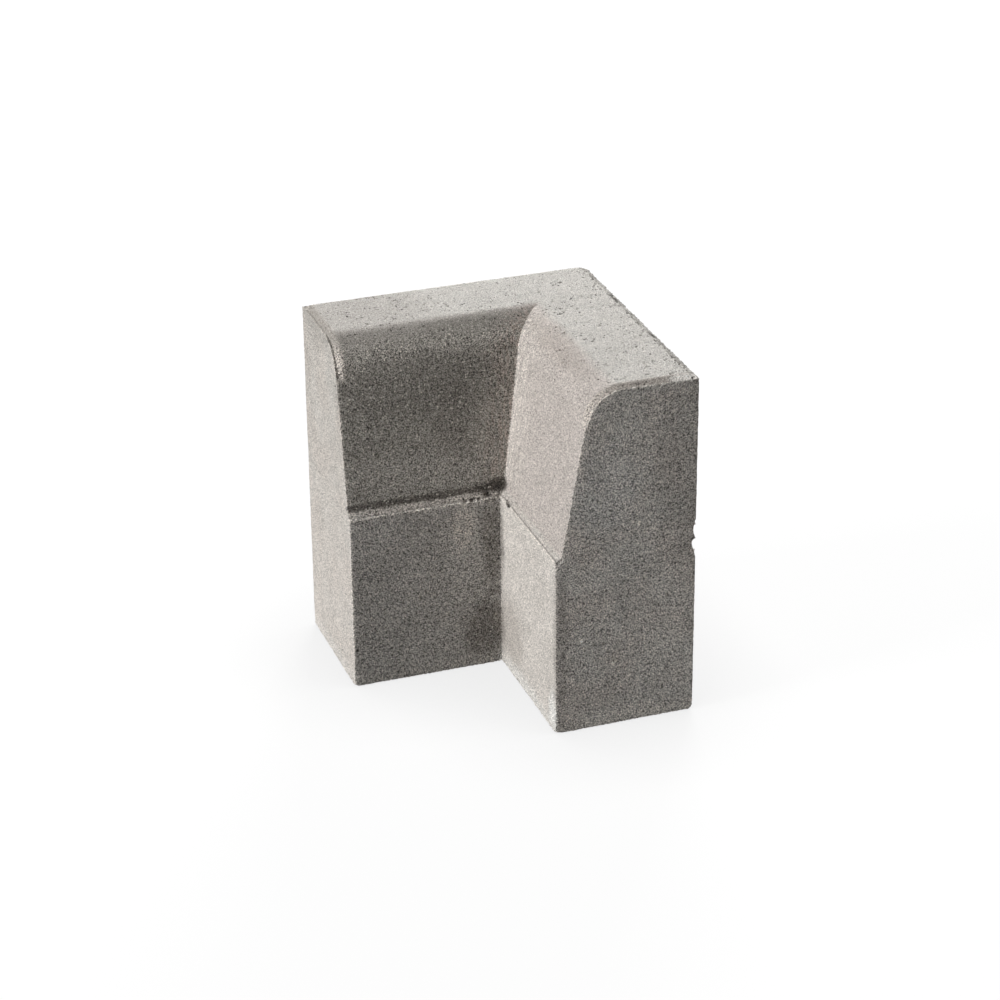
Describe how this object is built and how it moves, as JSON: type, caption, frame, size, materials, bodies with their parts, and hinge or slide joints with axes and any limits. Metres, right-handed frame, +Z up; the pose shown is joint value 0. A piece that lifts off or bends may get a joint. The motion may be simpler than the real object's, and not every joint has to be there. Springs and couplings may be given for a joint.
{
  "type": "concrete corner kerb stone",
  "caption": "Inside corner kerb stone of pressed concrete, L-shaped in plan, with an upright foot, a small ledge, a battered road face and a rounded shoulder under its flat top.",
  "frame": {"origin": "on the ground, at the middle of the square that the two legs enclose", "axes": "+Z up; +X and +Y point at the two backs, so the outer corner is at +X +Y and the free ends face -X and -Y"},
  "size_m": [0.25, 0.25, 0.3],
  "materials": {
    "concrete": "matte"
  },
  "bodies": {
    "root": {"kerb_stone": "concrete"}
  },
  "joints": []
}
